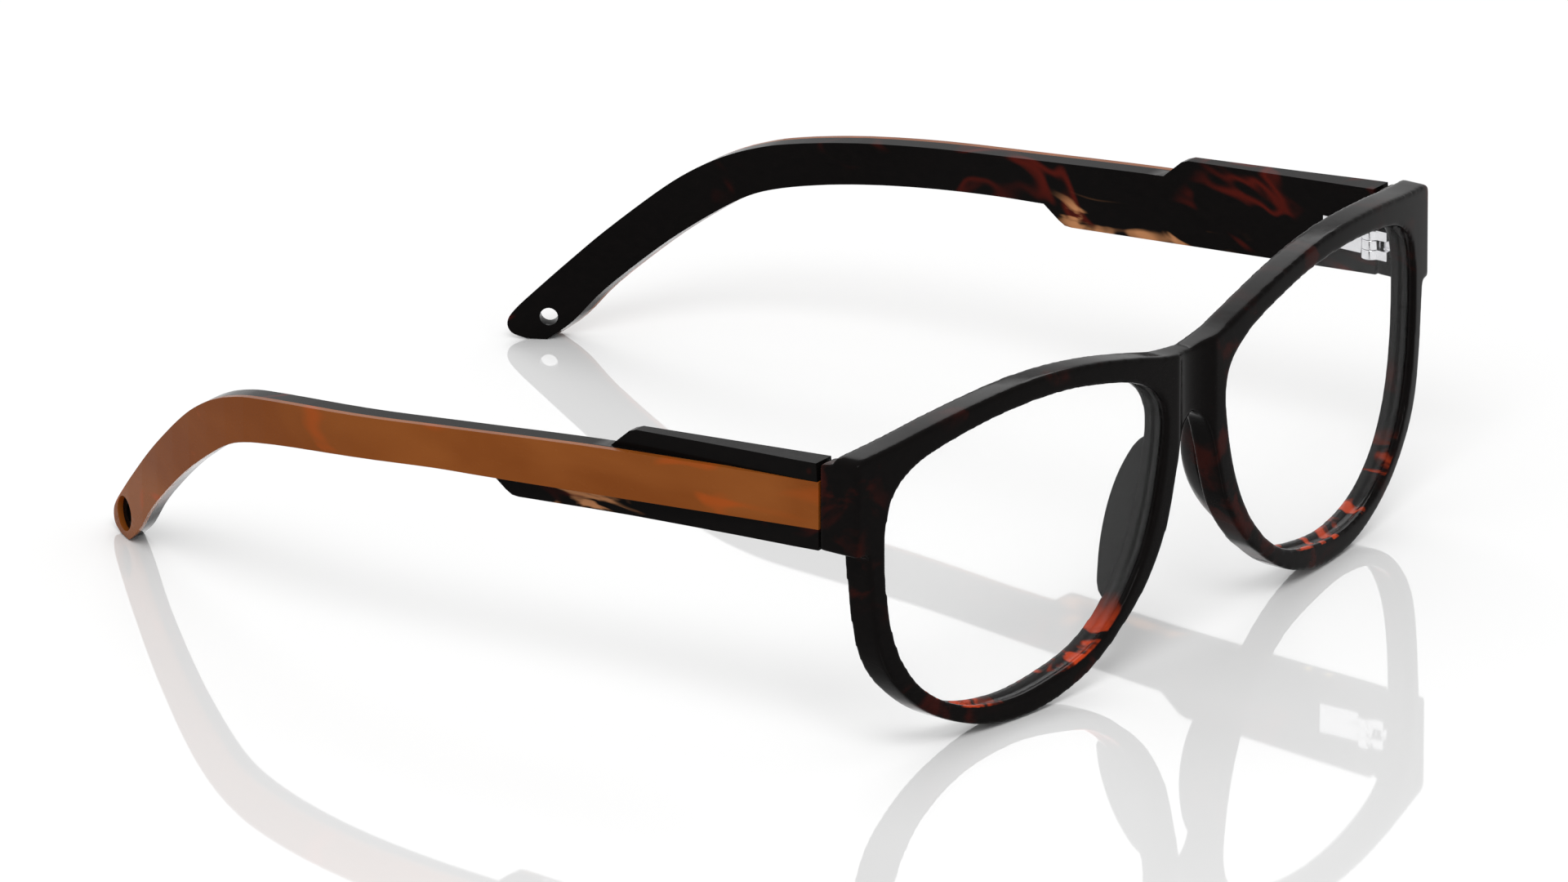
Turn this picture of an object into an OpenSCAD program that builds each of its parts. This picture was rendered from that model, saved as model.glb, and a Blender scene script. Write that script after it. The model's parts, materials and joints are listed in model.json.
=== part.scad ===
// Smart spectacles: acetate front, two folding temples with electronics behind a cover strip.
// Millimetres. X across (+X is the wearer's left), -Y is the front, Z up, floor at Z = 0.

/* [Front] */
// Half of the overall width, to the temples' outer faces
half_w = 69.9; // [69.5:0.1:70.3]
// Radius of the front's wrap, seen from above
wrap_r = 288; // [280:4:300]
// Depth of the rims, front to back
rim_depth = 4.2; // [3.9:0.1:4.5]
// Thickness of each lens
lens_t = 1.7; // [1.4:0.1:2.0]
// How far the lens edge enters the rim's groove
lens_bite = 0.5; // [0.3:0.1:0.7]
// How far each nose pad stands behind the rim
pad_depth = 3.6; // [2.8:0.2:4.4]

/* [Temples] */
// Thickness of a temple, cover strip included
temple_t = 3.7; // [3.7:0.1:4.1]
// Thickness of the cover strip
strip_t = 1.0; // [0.8:0.1:1.0]
// Half height of the block that holds the electronics
block_half = 6.3; // [6.1:0.1:6.5]
// Radius of the cord hole in each tip
hole_r = 1.3; // [1.0:0.1:1.5]
// Radius of the recess around the cord hole, in the strip
recess_r = 2.5; // [2.1:0.1:2.6]

/* [Hinges] */
// Radius of the hinge barrel
barrel_r = 1.5; // [1.3:0.1:1.5]
// Radius of the hinge screw
screw_r = 0.6; // [0.5:0.05:0.65]
// Running gap around the screw in the temple's knuckle
hinge_gap = 0.04; // [0.02:0.01:0.08]

/* [Button] */
// Travel of the power button
travel = 0.4; // [0.2:0.1:0.4]

/* [Hidden] */

eps = 0.01;
fit = 0.02;
front_y = -9.6;              // front face at the bridge
end_y = 5.4;                 // back of the end pieces
joint_y = 5.5;               // hinge axis, and start of the temples
block_z = 37.6;              // middle of the block at the hinge
block_tilt = 4;              // the temples slope down to the ears
inner_x = half_w - temple_t; // temples' inner faces
axis_x = inner_x - 1;
strip_x = half_w - strip_t;  // where the strip lies on the core
bend_y = 76;                 // the temples turn inwards behind here
bend_k = 0.00503;
hinge_z = 36.4;
knuckle = 1.4;
barrel_h = 3 * knuckle + 0.1;
leaf_t = 1.1;
leaf_deep = 0.5;
pocket_x = inner_x + 0.7;
pocket_mid = (pocket_x + strip_x) / 2;
pocket_w = 2.6;
board_t = 0.6;               // boards lie on the pocket's inner wall
chip_x = pocket_x + board_t;
contact_u = [8.5, 12];       // charging contacts, along the block
contact_w = 1;
button_x = inner_x + 1.45;   // middle of the power button
button_u = [16, 20];         // its slot, along the block
window_u = [16, 17.2];       // window of the status light, along the block and up
window_w = [1, 2.2];
port_x = inner_x + 1.05;     // middle of the speaker's port
grille_u = [43.6, 48.8];
grille_t = 0.45;
hole_at = [135.9, 3.4];
wire_a = inner_x + 0.9;      // inner side of the flat core wire
wire_t = 0.9;

tortoise = [0.10, 0.05, 0.04];
amber = [0.55, 0.30, 0.12];
steel = [0.75, 0.76, 0.78];
glassy = [0.85, 0.9, 0.9, 0.35];
green = [0.05, 0.25, 0.15];
black = [0.06, 0.06, 0.07];
silver = [0.6, 0.6, 0.62];
gold = [0.85, 0.65, 0.25];

// Smooth curves through a few points.
function cr(a, b, c, d, t) = 0.5 * (2 * b + (c - a) * t + (2 * a - 5 * b + 4 * c - d) * t * t
  + (3 * b - a - 3 * c + d) * t * t * t);
function open_curve(p, n) = let (m = len(p) - 1) [for (i = [0:m - 1], k = [0:n - 1])
  cr(p[max(i - 1, 0)], p[i], p[i + 1], p[min(i + 2, m)], k / n), p[m]];
function loop_curve(p, n) = let (m = len(p)) [for (i = [0:m - 1], k = [0:n - 1])
  cr(p[(i + m - 1) % m], p[i], p[(i + 1) % m], p[(i + 2) % m], k / n)];
function flip(p) = [for (i = [len(p) - 1:-1:0]) [-p[i][0], p[i][1]]];
// Moves a closed curve outwards by d along its own normals.
function grow(p, d) = let (m = len(p)) [for (i = [0:m - 1])
  let (t = p[(i + 1) % m] - p[(i + m - 1) % m]) p[i] + d * [t[1], -t[0]] / norm(t)];

// Front, seen from ahead: [x, z].
brow = [[0, 42.9], [6.5, 43.8], [12.4, 45.3], [21.5, 47.3], [30.3, 48.5], [38.6, 48.8], [46.8, 48.3],
  [54.6, 47.4], [62.2, 46.2], [68.7, 45.3]];
cheek = [[67.8, 30.8], [67.4, 26.9], [66.8, 21.7], [65.6, 16.1], [63.5, 11.9], [60.2, 8.3], [56, 5.1],
  [50.7, 2.5], [44.9, 0.7], [38.7, 0.1], [32.8, 0.5], [26, 2.2], [20.7, 4.8], [17, 7.4], [13.2, 10.4],
  [9.5, 14.7], [7.2, 18.7], [5.8, 22.8], [4.6, 27.1], [2.9, 31.6], [0, 33.7]];
lens_hole = [[64.7, 30.2], [64.4, 35.4], [63, 39.1], [60.1, 41.7], [55.6, 43.4], [46.7, 45],
  [37.7, 45.6], [29.8, 45.3], [23.3, 44.3], [16.1, 42.6], [11.3, 40.5], [8.2, 37.5], [7.3, 33.3],
  [8.5, 26.4], [10.3, 20.6], [13.1, 15.2], [17.9, 9.8], [23.8, 6.1], [31.2, 4.2], [39.5, 3.3],
  [47.6, 4.2], [53.6, 6.5], [58.6, 10.3], [62.2, 15.8], [64.1, 22.6]];
half_front = concat(open_curve(brow, 4), [[half_w - 0.3, 44.9], [half_w, 44.5], [half_w, 31.3],
  [68.1, 31.2]], open_curve(cheek, 4));
front_outline = concat(half_front, flip(half_front));
opening = loop_curve(lens_hole, 4);

// Temples, seen from the side: [y, z].
arm_top = [[joint_y, 41.2], [22.1, 40], [41.2, 38.6], [52.3, 37.6], [62.4, 36.6], [77.5, 35.1],
  [93.2, 33.4], [103.1, 31.9], [108, 30.7], [112.6, 28.9], [117.2, 26.2], [121.6, 22.7], [127.9, 16.8],
  [132.3, 12.2], [136.3, 7.8], [139.2, 4.4], [140.1, 2.5], [139.6, 0.9], [137.9, 0.1]];
arm_low = [[135.3, 0], [132.1, 2.8], [128.1, 7.8], [121.2, 14.5], [115.8, 18.9], [110.1, 22.8],
  [105.7, 24.7], [99.2, 26.2], [91.6, 27.4], [81.5, 28.6], [70.5, 29.7], [61.4, 30.3], [47.3, 31.3],
  [33.2, 32.3], [19.6, 33.3], [joint_y, 34.3]];
arm_outline = concat(open_curve(arm_top, 4), open_curve(arm_low, 4));
wire_mid = [[57.4, 33.6], [70.5, 32.6], [91.6, 30.5], [103.7, 28.1], [111.7, 25], [118.8, 20.1],
  [126.8, 12.3]];
wire_outline = let (c = open_curve(wire_mid, 5), u = [for (p = c) p + [0, 0.7]],
  d = [for (i = [len(c) - 1:-1:0]) c[i] - [0, 0.7]]) concat(u, d);
block_outline = [[0, block_half], [31.4, block_half], [32.6, block_half - 0.35], [36.2, 3.2],
  [36.2, -3], [57.2, -3], [54.3, -block_half + 0.8], [53.3, -block_half + 0.15],
  [52.2, -block_half], [0, -block_half]];

function outer(y) = y < bend_y ? 0 : bend_k * pow(y - bend_y, 2);
function inset(y) = y > 40 ? 1.9 : y > 12 ? 0.3 + 1.6 * pow((y - 12) / 28, 0.8) : 0.3 * (y - 5) / 7;

// Puts the middle of the whole part over the origin.
mid_y = 65.3;
module placed() { translate([0, -mid_y, 0]) children(); }
module side(s) { if (s > 0) children(); else mirror([1, 0, 0]) children(); }

// A side outline as a slab from x0 to x1.
module slab(p, x0, x1) {
  translate([x0, 0, 0]) rotate([90, 0, 90]) linear_extrude(x1 - x0) polygon(p);
}

// A side outline, followed inwards by the temple's bend, between two depths.
module bent(p, x0, x1) {
  ys = [0, 30, 60, for (i = [0:16]) bend_y + i * 4.25];
  intersection() {
    slab(p, x0 - 25, x1 + 1);
    translate([0, 0, -5]) linear_extrude(60) polygon(concat(
      [for (y = ys) [x1 - outer(y), y]],
      [for (i = [len(ys) - 1:-1:0]) [x0 - outer(ys[i]), ys[i]]]));
  }
}

// The block's own axes: x across, y along it from the hinge, z up.
module in_block() { translate([0, joint_y, block_z]) rotate([-block_tilt, 0, 0]) children(); }
module cell(x0, x1, u0, u1, w0, w1) { translate([x0, u0, w0]) cube([x1 - x0, u1 - u0, w1 - w0]); }
// A cell of width w about x, over the spans u and z; a way down and out starts below the block.
module about(x, w, u, z) { cell(x - w / 2, x + w / 2, u[0], u[1], z[0], z[1]); }
way_down = [-8, -2];

// The wrapped sheet between two depths behind the front face.
module sheet(a, b) {
  translate([0, front_y + wrap_r, -1]) difference() {
    cylinder(r = wrap_r - a, h = 52, $fn = 720);
    translate([0, 0, -1]) cylinder(r = wrap_r - b, h = 54, $fn = 720);
  }
}
module facing(p) { translate([0, 20, 0]) rotate([90, 0, 0]) linear_extrude(40) polygon(p); }
module on_axis(z) { translate([axis_x, joint_y, z]) children(); }

module end_piece() {
  slab([[1, 44.6], [end_y, 43.85], [end_y, 31.3], [1, 31.3]], inner_x, half_w);
}

module front_frame() {
  color(tortoise) placed() difference() {
    union() {
      intersection() { facing(front_outline); sheet(0, rim_depth); }
      for (s = [1, -1]) side(s) end_piece();
    }
    translate([0, front_y - 11.1, 0]) cylinder(r = 12, h = 60, $fn = 240);
    for (s = [1, -1]) side(s) {
      facing(opening);
      intersection() {
        facing(grow(opening, lens_bite + 0.05));
        sheet(1.2, 1.2 + lens_t + 0.06);
      }
      on_axis(hinge_z - barrel_h / 2 - 0.2) cylinder(r = barrel_r + 0.25, h = barrel_h + 0.4, $fn = 48);
      translate([inner_x - 1, 1.6 - fit, hinge_z - barrel_h / 2 - fit])
        cube([1 + leaf_deep + fit, 6, barrel_h + 2 * fit]);
    }
  }
}

module lens(s) {
  color(glassy) placed() side(s) intersection() {
    facing(grow(opening, lens_bite));
    sheet(1.23, 1.23 + lens_t);
  }
}

// Each pad is a ridge that follows the nose edge of the rim.
pad_path = open_curve([[5.3, 31], [6.2, 27], [7.6, 22.6], [9.6, 18.2], [12.4, 14], [16, 10.4]], 4);
module nose_pad(s) {
  m = len(pad_path) - 1;
  k = 12;
  rings = [for (i = [0:m]) let (t = i / m, d = pad_path[min(i + 1, m)] - pad_path[max(i - 1, 0)],
    n = [-d[1], d[0]] / norm(d), g = pow(max(sin(180 * t), 0.04), 0.55), w = 0.5 + 0.75 * g,
    back = rim_depth - 1 + (pad_depth + 1) * g)
    [for (j = [0:k]) let (a = 180 * j / k) [pad_path[i][0] + n[0] * w * cos(a) + 1.2 * g * sin(a),
      front_y + 2 + (back - 1) * sin(a), pad_path[i][1] + n[1] * w * cos(a)]]];
  pts = [for (r = rings) each r];
  q = k + 1;
  color(tortoise) placed() side(s) intersection() {
    polyhedron(pts, concat([[for (j = [0:k]) j]], [[for (j = [k:-1:0]) m * q + j]],
      [for (i = [0:m - 1], j = [0:k]) [i * q + j, (i + 1) * q + j, (i + 1) * q + (j + 1) % q]],
      [for (i = [0:m - 1], j = [0:k]) [i * q + j, (i + 1) * q + (j + 1) % q, i * q + (j + 1) % q]]));
    translate([0, front_y + wrap_r, 0]) cylinder(r = wrap_r - rim_depth - 0.005, h = 45, $fn = 720);
  }
}

// Leaf plate, and a knuckle with its web; dir is 1 on the temple's leaf, -1 on the front's.
module leaf_plate(y0, y1) {
  translate([inner_x + leaf_deep - leaf_t, y0, hinge_z - barrel_h / 2]) cube([leaf_t, y1 - y0, barrel_h]);
}
module knuckle_at(z0, h, dir) {
  on_axis(z0) cylinder(r = barrel_r, h = h, $fn = 48);
  translate([axis_x - 0.7, dir > 0 ? joint_y : joint_y - 3, z0]) cube([1.7, 3, h]);
}

module front_hinge(s) {
  z0 = hinge_z - barrel_h / 2;
  color(steel) placed() side(s) difference() {
    union() {
      leaf_plate(1.6, 3.7);
      knuckle_at(z0, knuckle, -1);
      knuckle_at(z0 + barrel_h - knuckle, knuckle, -1);
    }
    on_axis(z0 - 1) cylinder(r = screw_r + 0.01, h = barrel_h + 2, $fn = 32);
    on_axis(z0 + barrel_h - 0.5) cylinder(r = 1.05, h = 1, $fn = 32);
  }
}

module hinge_screw(s) {
  z0 = hinge_z - barrel_h / 2;
  color(silver) placed() side(s) difference() {
    union() {
      on_axis(z0) cylinder(r = screw_r, h = barrel_h - 0.3, $fn = 32);
      on_axis(z0 + barrel_h - 0.49) cylinder(r = 1, h = 0.49, $fn = 32);
    }
    translate([axis_x - 1.1, joint_y - 0.12, z0 + barrel_h - 0.22]) cube([2.2, 0.24, 1]);
  }
}

module temple_hinge(s) {
  z1 = hinge_z - knuckle / 2;
  color(steel) placed() side(s) difference() {
    union() { leaf_plate(7.4, 14); knuckle_at(z1, knuckle, 1); }
    on_axis(z1 - 1) cylinder(r = screw_r + hinge_gap, h = knuckle + 2, $fn = 32);
  }
}

module core_solid() {
  intersection() {
    in_block() slab(block_outline, inner_x, half_w);
    translate([0, 0, 15]) linear_extrude(40) polygon(concat([[inner_x, 4], [inner_x, 65]],
      [for (y = [65, 44, 38, 32, 26, 20, 14, 10, joint_y]) [half_w - inset(y), y]]));
    translate([0, joint_y, 0]) cube(100);
  }
  bent(arm_outline, inner_x, strip_x);
}

module temple_core(s) {
  color(tortoise) placed() side(s) difference() {
    core_solid();
    intersection() { bent(arm_outline, strip_x, half_w + 1); cube([100, 62, 60]); }
    in_block() {
      cell(pocket_x, strip_x + eps, 5, 52, -pocket_w, pocket_w);
      about(port_x, 0.6, grille_u + [0.4, -0.4], way_down);
      about(port_x, 0.9, grille_u, [-8, -block_half + grille_t]);
      for (u = contact_u) about(pocket_mid, contact_w, [u, u + contact_w], way_down);
      if (s < 0) {
        about(button_x, 1.2, button_u, way_down);
        about(button_x, 1.5, button_u + [-1, 1], [-3.6, -2]);
        cell(inner_x - 1, pocket_x + 1, window_u[0], window_u[1], window_w[0], window_w[1]);
      }
    }
    bent(wire_outline, wire_a - fit, wire_a + wire_t + fit);
    on_axis(hinge_z - barrel_h / 2 - 0.2) cylinder(r = barrel_r + 0.25, h = barrel_h + 0.4, $fn = 48);
    translate([inner_x - 1, 4, hinge_z - barrel_h / 2 - fit])
      cube([1 + leaf_deep + fit, 10 + fit, barrel_h + 2 * fit]);
    tip_hole(hole_r, 20);
  }
}

// The tip turns inwards, so its hole is drilled square to the tip's face.
tip_turn = atan(2 * bend_k * (hole_at[0] - bend_y));
module tip_hole(r, depth) {
  translate([half_w - outer(hole_at[0]) - temple_t / 2, hole_at[0], hole_at[1]])
    rotate([0, 0, tip_turn]) rotate([0, 90, 0]) cylinder(r = r, h = depth, center = true, $fn = 48);
}

module temple_strip(s) {
  color(amber) placed() side(s) difference() {
    bent(arm_outline, strip_x, half_w);
    tip_hole(recess_r, 20);
  }
}

module core_wire(s) {
  color(silver) placed() side(s) bent(wire_outline, wire_a, wire_a + wire_t);
}

module board(s) {
  color(green) placed() side(s) in_block() difference() {
    cell(pocket_x, chip_x, 6, 24, -2.4, 2.4);
    if (s < 0) cell(pocket_x - 1, chip_x + 1, window_u[0] - 0.1, window_u[1] + 0.1, 0.9, 3);
  }
}

module chip(s, u0, u1) {
  color(black) placed() side(s) in_block() cell(chip_x, chip_x + 0.8, u0, u1, -1.9, 1.9);
}

module battery(s) {
  color(silver) placed() side(s) in_block() cell(pocket_x, strip_x - 0.15, 24.6, 43.2, -2.45, 2.45);
}

module speaker(s) {
  color(steel) placed() side(s) in_block() cell(pocket_x, strip_x - 0.2, 43.6, 51.6, -2.45, 2.45);
}

module speaker_grille(s) {
  color(silver) placed() side(s) in_block() difference() {
    about(port_x, 0.9, grille_u, [-block_half, -block_half + grille_t]);
    for (i = [0:3]) about(port_x, 0.5, (grille_u[0] + i) * [1, 1] + [0.75, 1.35], [-8, -4]);
  }
}

module charge_contacts(s) {
  color(gold) placed() side(s) in_block()
    for (u = contact_u) about(pocket_mid, contact_w, [u, u + contact_w], [-block_half - 0.05, -2.45]);
}

// A flat meander: one long run and three cross legs.
module radio_antenna_left() {
  color(gold) placed() side(1) in_block() {
    cell(chip_x, chip_x + 0.15, 15, 23.5, 1.2, 1.8);
    for (u = [15, 18.8, 22.7]) cell(chip_x, chip_x + 0.15, u, u + 0.8, -1.8, 1.8);
  }
}

module microphone_right() {
  color(gold) placed() side(-1) in_block() cell(chip_x, chip_x + 1, 20.4, 23.4, -1.1, 1.1);
}

module button_switch_right() {
  color(black) placed() side(-1) in_block() cell(chip_x, chip_x + 1.2, 16.4, 19.6, -1.9, -0.3);
}

// The cap, the flange that holds it in, and the nib that meets the switch.
module power_button() {
  color(black) placed() side(-1) in_block() {
    about(button_x, 1, button_u + [0.1, -0.1], [-block_half - 0.3, -3.3]);
    about(button_x, 1.3, button_u + [-0.8, 0.8], [-3.55, -3.1]);
    about(button_x + 0.25, 0.4, [17.4, 18.6], [-3.2, -1.95 - travel]);
  }
}

module status_light_right() {
  color(glassy) placed() side(-1) in_block() cell(inner_x, pocket_x + 0.5, window_u[0] + fit,
    window_u[1] - fit, window_w[0] + fit, window_w[1] - fit);
}

front_frame();
nose_pad(1);  // nose_pad_left
nose_pad(-1);  // nose_pad_right
lens(1);  // lens_left
lens(-1);  // lens_right
front_hinge(1);  // front_hinge_left
front_hinge(-1);  // front_hinge_right
hinge_screw(1);  // hinge_screw_left
hinge_screw(-1);  // hinge_screw_right
temple_core(1);  // temple_core_left
temple_core(-1);  // temple_core_right
temple_strip(1);  // temple_strip_left
temple_strip(-1);  // temple_strip_right
temple_hinge(1);  // temple_hinge_left
temple_hinge(-1);  // temple_hinge_right
core_wire(1);  // core_wire_left
core_wire(-1);  // core_wire_right
board(1);  // board_left
board(-1);  // board_right
chip(1, 8, 13);  // power_chip_left
chip(-1, 7, 13.5);  // audio_chip_right
battery(1);  // battery_left
battery(-1);  // battery_right
speaker(1);  // speaker_left
speaker(-1);  // speaker_right
speaker_grille(1);  // speaker_grille_left
speaker_grille(-1);  // speaker_grille_right
charge_contacts(1);  // charge_contacts_left
charge_contacts(-1);  // charge_contacts_right
radio_antenna_left();
microphone_right();
button_switch_right();
power_button();
status_light_right();
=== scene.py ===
import json
import math

import bpy
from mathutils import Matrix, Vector

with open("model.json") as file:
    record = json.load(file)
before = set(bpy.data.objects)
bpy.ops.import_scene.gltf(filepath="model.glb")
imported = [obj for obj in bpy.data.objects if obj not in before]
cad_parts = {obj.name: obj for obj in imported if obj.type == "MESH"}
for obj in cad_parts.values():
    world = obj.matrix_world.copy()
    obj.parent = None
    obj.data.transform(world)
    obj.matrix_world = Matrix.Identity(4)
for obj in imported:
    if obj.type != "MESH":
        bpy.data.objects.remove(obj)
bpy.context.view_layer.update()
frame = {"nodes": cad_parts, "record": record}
nodes = frame["nodes"]
MM = 0.001


# ------------------------------------------------------------ shader helpers
def new_material(name):
    mat = bpy.data.materials.new(name)
    mat.use_nodes = True
    tree = mat.node_tree
    return mat, tree, tree.nodes["Principled BSDF"]


def add(tree, kind, **values):
    """Adds a node, and sets each value on its input of that name or else on the node."""
    n = tree.nodes.new(kind)
    for key, value in values.items():
        if key in n.inputs:
            n.inputs[key].default_value = value
        else:
            setattr(n, key, value)
    return n


def grey(v):
    return (v, v, v)


def ramp(tree, source, stops):
    """Maps a factor to the colours of (position, colour) stops."""
    n = add(tree, "ShaderNodeValToRGB")
    n.color_ramp.interpolation = "EASE"
    elements = n.color_ramp.elements
    while len(elements) < len(stops):
        elements.new(0.5)
    for element, (position, colour) in zip(elements, stops):
        element.position = position
        element.color = (*colour, 1)
    tree.links.new(source, n.inputs[0])
    return n.outputs[0]


def mix(tree, factor, a, b):
    """Blends from a to b; each is a colour or a socket."""
    n = add(tree, "ShaderNodeMix", data_type="RGBA")
    tree.links.new(factor, n.inputs[0])
    for socket, value in ((n.inputs[6], a), (n.inputs[7], b)):
        if isinstance(value, tuple):
            socket.default_value = (*value, 1)
        else:
            tree.links.new(value, socket)
    return n.outputs[2]


def product(tree, *factors):
    out = factors[0]
    for other in factors[1:]:
        n = add(tree, "ShaderNodeMath", operation="MULTIPLY")
        tree.links.new(out, n.inputs[0])
        tree.links.new(other, n.inputs[1])
        out = n.outputs[0]
    return out


def place(tree, stretch=(1, 1, 1)):
    """The object's own coordinates, in metres; a stretch below 1 draws the pattern out along that axis."""
    co = add(tree, "ShaderNodeTexCoord")
    m = add(tree, "ShaderNodeMapping")
    m.inputs["Scale"].default_value = stretch
    tree.links.new(co.outputs["Object"], m.inputs["Vector"])
    return m.outputs[0]


def noise(tree, at, scale, detail=3.0, rough=0.5, twist=0.0):
    n = add(tree, "ShaderNodeTexNoise", Scale=scale, Detail=detail, Roughness=rough, Distortion=twist)
    tree.links.new(at, n.inputs["Vector"])
    return n.outputs["Fac"]


def fade(tree, axis, low, high, of="Object"):
    """0 at low and 1 at high, along one axis of the object's own frame or of its normal."""
    co = add(tree, "ShaderNodeTexCoord")
    split = add(tree, "ShaderNodeSeparateXYZ")
    tree.links.new(co.outputs[of], split.inputs[0])
    span = add(tree, "ShaderNodeMapRange", interpolation_type="SMOOTHSTEP")
    tree.links.new(split.outputs[axis], span.inputs["Value"])
    span.inputs["From Min"].default_value = low
    span.inputs["From Max"].default_value = high
    return span.outputs[0]


def bump(tree, bsdf, height, strength, distance):
    n = add(tree, "ShaderNodeBump", Strength=strength, Distance=distance)
    tree.links.new(height, n.inputs["Height"])
    tree.links.new(n.outputs[0], bsdf.inputs["Normal"])


def roughness(tree, bsdf, pattern, low, high, start=0.3):
    """Roughness from low to high, as the pattern goes from start to as far below 1."""
    level = ramp(tree, pattern, [(start, grey(low)), (1 - start, grey(high))])
    tree.links.new(level, bsdf.inputs["Roughness"])


# ----------------------------------------------------------------- materials
def veins(tree, at):
    """Thin winding lines, where a warped noise crosses its middle."""
    return ramp(tree, noise(tree, at, 60, 2, 0.45, 1.2), [(0.45, grey(0)), (0.5, grey(1)), (0.55, grey(0))])


def patches(tree, at):
    """Soft ragged patches."""
    return ramp(tree, noise(tree, at, 150, 4, 0.55, 0.5), [(0.50, grey(0)), (0.66, grey(1))])


def tortoise(name, marks, mark_colour, amber_and_painted_glint_colour, *window):
    """Polished acetate: near black, with dark red marks, and lighter windows inside a masked zone; on the
    front these are painted glints, on the temples amber patches of the acetate.
    """
    mat, tree, bsdf = new_material(name)
    at = place(tree, (1, 0.7, 1.1))
    grain = noise(tree, at, 900, 2)
    clouds = ramp(tree, noise(tree, at, 48, 2, 0.5, 0.6), [(0.48, grey(0)), (0.62, grey(1))])
    red = product(tree, marks(tree, at), clouds)
    flecks = noise(tree, place(tree, (1, 0.4, 1.5)), 190, 3, 0.5, 0.8)
    spots = ramp(tree, flecks, [(0.51, grey(0)), (0.62, grey(1))])
    zone = [fade(tree, *edge) for edge in window]
    body = mix(tree, grain, (0.0022, 0.0020, 0.0020), (0.0040, 0.0032, 0.0030))
    body = mix(tree, red, body, mark_colour)
    # Lighter windows: painted glints where the zone holds the upward faces low in the front's rims, amber
    # patches of the acetate in the temples' blocks.
    body = mix(tree, product(tree, spots, *zone), body, amber_and_painted_glint_colour)
    tree.links.new(body, bsdf.inputs["Base Color"])
    roughness(tree, bsdf, grain, 0.12, 0.18)
    bsdf.inputs["IOR"].default_value = 1.09
    bump(tree, bsdf, noise(tree, at, 120, 2), 0.04, 0.3 * MM)
    return mat


def amber(name):
    """The cover strip: amber brown acetate, a little clouded."""
    mat, tree, bsdf = new_material(name)
    at = place(tree, (1, 0.45, 1.2))
    clouds = ramp(tree, noise(tree, at, 75, 3, 0.5, 0.6), [(0.35, grey(0)), (0.7, grey(1))])
    spots = ramp(tree, noise(tree, at, 130, 2, 0.5, 0.8), [(0.58, grey(0)), (0.72, grey(0.8))])
    body = mix(tree, clouds, (0.150, 0.038, 0.0045), (0.195, 0.056, 0.0095))
    body = mix(tree, spots, body, (0.27, 0.050, 0.005))
    tree.links.new(body, bsdf.inputs["Base Color"])
    roughness(tree, bsdf, noise(tree, at, 800, 2), 0.20, 0.28)
    bsdf.inputs["IOR"].default_value = 1.15
    bump(tree, bsdf, noise(tree, at, 140, 2), 0.04, 0.3 * MM)
    return mat


def metal(name, colour, rough, scale=900.0, stretch=(1, 1, 1)):
    """Metal with fine marks, a little darker in them."""
    mat, tree, bsdf = new_material(name)
    marks = noise(tree, place(tree, stretch), scale, 3)
    shade = tuple(c * 0.86 for c in colour)
    tree.links.new(mix(tree, marks, shade, colour), bsdf.inputs["Base Color"])
    roughness(tree, bsdf, marks, rough * 0.8, rough * 1.3, 0.25)
    bsdf.inputs["Metallic"].default_value = 1.0
    bump(tree, bsdf, marks, 0.05, 0.2 * MM)
    return mat


def moulded(name, dark, light, rough):
    """Fine-grained moulded plastic."""
    mat, tree, bsdf = new_material(name)
    grain = noise(tree, place(tree), 1400, 3)
    tree.links.new(mix(tree, grain, dark, light), bsdf.inputs["Base Color"])
    roughness(tree, bsdf, grain, rough * 0.85, rough * 1.2)
    bump(tree, bsdf, grain, 0.12, 0.1 * MM)
    return mat


def clear(name, alpha, rough):
    """Clear plastic with a faint haze."""
    mat, tree, bsdf = new_material(name)
    haze = noise(tree, place(tree), 40, 2)
    tree.links.new(mix(tree, haze, (0.93, 0.95, 0.95), (0.98, 0.99, 0.99)), bsdf.inputs["Base Color"])
    bsdf.inputs["Roughness"].default_value = rough
    bsdf.inputs["IOR"].default_value = 1.3
    bsdf.inputs["Alpha"].default_value = alpha
    return mat


# The front gets painted glints on the upward faces low in the rims, and each temple its amber windows at the
# rear bottom of its block.
front_painted_glint_zone = [("Z", 12 * MM, 6 * MM), ("Z", 0.35, 0.75, "Normal")]
temple_window = [("Z", 33.5 * MM, 30.5 * MM), ("Y", -40 * MM, -24 * MM), ("Y", -4 * MM, -9 * MM)]
temple_look = tortoise("temple acetate", veins, (0.055, 0.0058, 0.0035), (0.36, 0.16, 0.070), *temple_window)
looks = {
    # The front's last colour is a painted red-orange glint, on the upward faces low inside its rims.
    "tortoise": tortoise("tortoiseshell acetate", patches, (0.024, 0.0040, 0.0028), (0.34, 0.036, 0.009),
                         *front_painted_glint_zone),
    "amber": amber("amber acetate"),
    "lens": clear("clear lens", 0.02, 0.02),
    "hinge_steel": metal("hinge steel", (0.80, 0.80, 0.82), 0.16),
    "spring_steel": metal("core steel", (0.62, 0.62, 0.64), 0.3, 1200.0, (1, 0.1, 1)),
    "circuit_board": moulded("solder mask", (0.010, 0.075, 0.040), (0.018, 0.11, 0.058), 0.35),
    "chip_black": moulded("chip moulding", (0.010, 0.010, 0.011), (0.022, 0.022, 0.024), 0.5),
    "cell_foil": metal("cell foil", (0.70, 0.71, 0.73), 0.35, 700.0),
    "speaker_shell": metal("speaker can", (0.50, 0.50, 0.52), 0.3),
    "grille_steel": metal("grille steel", (0.30, 0.30, 0.32), 0.3),
    "gold": metal("gold plate", (0.85, 0.60, 0.24), 0.2),
    "button_black": moulded("button plastic", (0.010, 0.009, 0.009), (0.020, 0.018, 0.018), 0.3),
    "light_pipe": clear("light pipe", 0.5, 0.3),
}
slots = {s["node"]: s["material_slot"] for s in frame["record"]["subparts"]}
for name, obj in nodes.items():
    obj.data.materials.clear()
    obj.data.materials.append(temple_look if name.startswith("temple_core") else looks[slots[name]])


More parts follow.
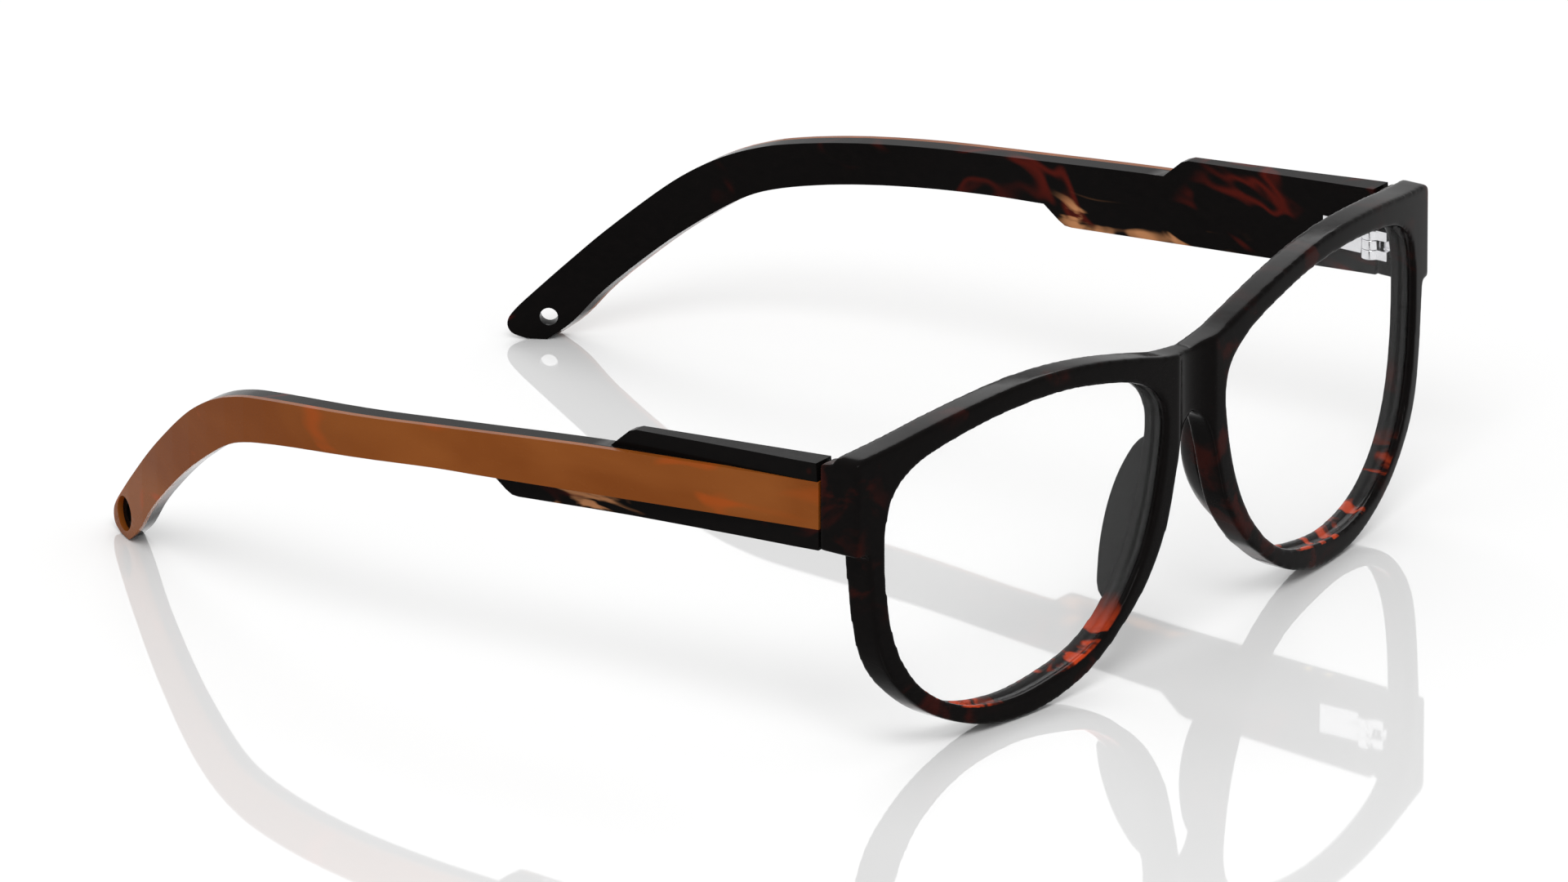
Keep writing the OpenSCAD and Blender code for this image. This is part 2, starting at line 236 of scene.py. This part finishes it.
# ------------------------------------------------------------- rounded edges
def polish(obj):
    """Rounds the tumbled front all over: a fine even skin, relaxed, then thinned out."""
    skin = obj.modifiers.new("skin", "REMESH")
    skin.mode = "VOXEL"
    skin.voxel_size = 0.2 * MM
    skin.use_smooth_shade = True
    relax = obj.modifiers.new("relax", "SMOOTH")
    relax.factor = 0.5
    relax.iterations = 34
    thin = obj.modifiers.new("thin out", "DECIMATE")
    thin.ratio = 0.2


def round_edges(obj, width):
    """Rounds the sharp edges by a bevel of this width, and smooths the shading across it."""
    weld = obj.modifiers.new("weld", "WELD")
    weld.merge_threshold = 0.002 * MM
    if width:
        bevel = obj.modifiers.new("edges", "BEVEL")
        bevel.width = width
        bevel.segments = 4
        bevel.limit_method = "ANGLE"
        bevel.angle_limit = math.radians(38)
        bevel.harden_normals = False
        bevel.use_clamp_overlap = True
    normals = obj.modifiers.new("normals", "WEIGHTED_NORMAL")
    normals.keep_sharp = True
    normals.weight = 70


edge_width = {"temple_core": 0.5 * MM, "temple_strip": 0.4 * MM, "front_hinge": 0.1 * MM,
              "temple_hinge": 0.1 * MM, "power_button": 0.12 * MM, "hinge_screw": 0.06 * MM,
              "speaker_grille": 0.05 * MM}
for name, obj in nodes.items():
    for face in obj.data.polygons:
        face.use_smooth = True
    if name == "front_frame":
        polish(obj)
    else:
        round_edges(obj, next((w for start, w in edge_width.items() if name.startswith(start)), None))


# --------------------------------------------------------------------- stage
def pale_floor():
    """A glossy pale floor, just under the part so that the two never share a plane."""
    bpy.ops.mesh.primitive_plane_add(size=6, location=(0, 0, -0.1 * MM))
    floor = bpy.context.object
    floor.name = "floor"
    mat, tree, bsdf = new_material("pale floor")
    wear = noise(tree, place(tree), 3, 2)
    tree.links.new(mix(tree, wear, grey(0.65), grey(0.68)), bsdf.inputs["Base Color"])
    bsdf.inputs["Roughness"].default_value = 0.03
    bsdf.inputs["IOR"].default_value = 2.4
    floor.data.materials.append(mat)


def white_world():
    world = bpy.data.worlds.new("studio")
    bpy.context.scene.world = world
    world.use_nodes = True
    background = world.node_tree.nodes["Background"]
    background.inputs["Color"].default_value = (1, 1, 1, 1)
    background.inputs["Strength"].default_value = 1.0


def area_light(name, at, size, watts):
    """A soft rectangular light that points at the middle of the part."""
    data = bpy.data.lights.new(name, "AREA")
    data.shape = "RECTANGLE"
    data.size, data.size_y = size
    data.energy = watts
    lamp = bpy.data.objects.new(name, data)
    bpy.context.scene.collection.objects.link(lamp)
    lamp.location = at
    lamp.rotation_euler = (Vector((0, 0, 0.02)) - Vector(at)).to_track_quat("-Z", "Y").to_euler()


def aim_camera(azimuth, elevation, target, distance, lens):
    """Azimuth 0 looks along +Y; both angles are in degrees."""
    a, e = math.radians(azimuth), math.radians(elevation)
    back = Vector((math.sin(a) * math.cos(e), -math.cos(a) * math.cos(e), math.sin(e)))
    camera = bpy.data.objects.new("camera", bpy.data.cameras.new("camera"))
    bpy.context.scene.collection.objects.link(camera)
    camera.location = Vector(target) + back * distance
    camera.rotation_euler = (-back).to_track_quat("-Z", "Y").to_euler()
    camera.data.sensor_width = 36
    camera.data.lens = lens
    camera.data.clip_end = 50
    bpy.context.scene.camera = camera


pale_floor()
white_world()
area_light("key", (-0.5, -0.35, 0.75), (0.5, 0.35), 5)
area_light("fill", (0.6, 0.5, 0.6), (0.6, 0.4), 3)
aim_camera(-54.99, 20.08, (-0.0017, -0.0063, 0.0156), 4.25, 700)
bpy.context.scene.view_settings.view_transform = "Standard"
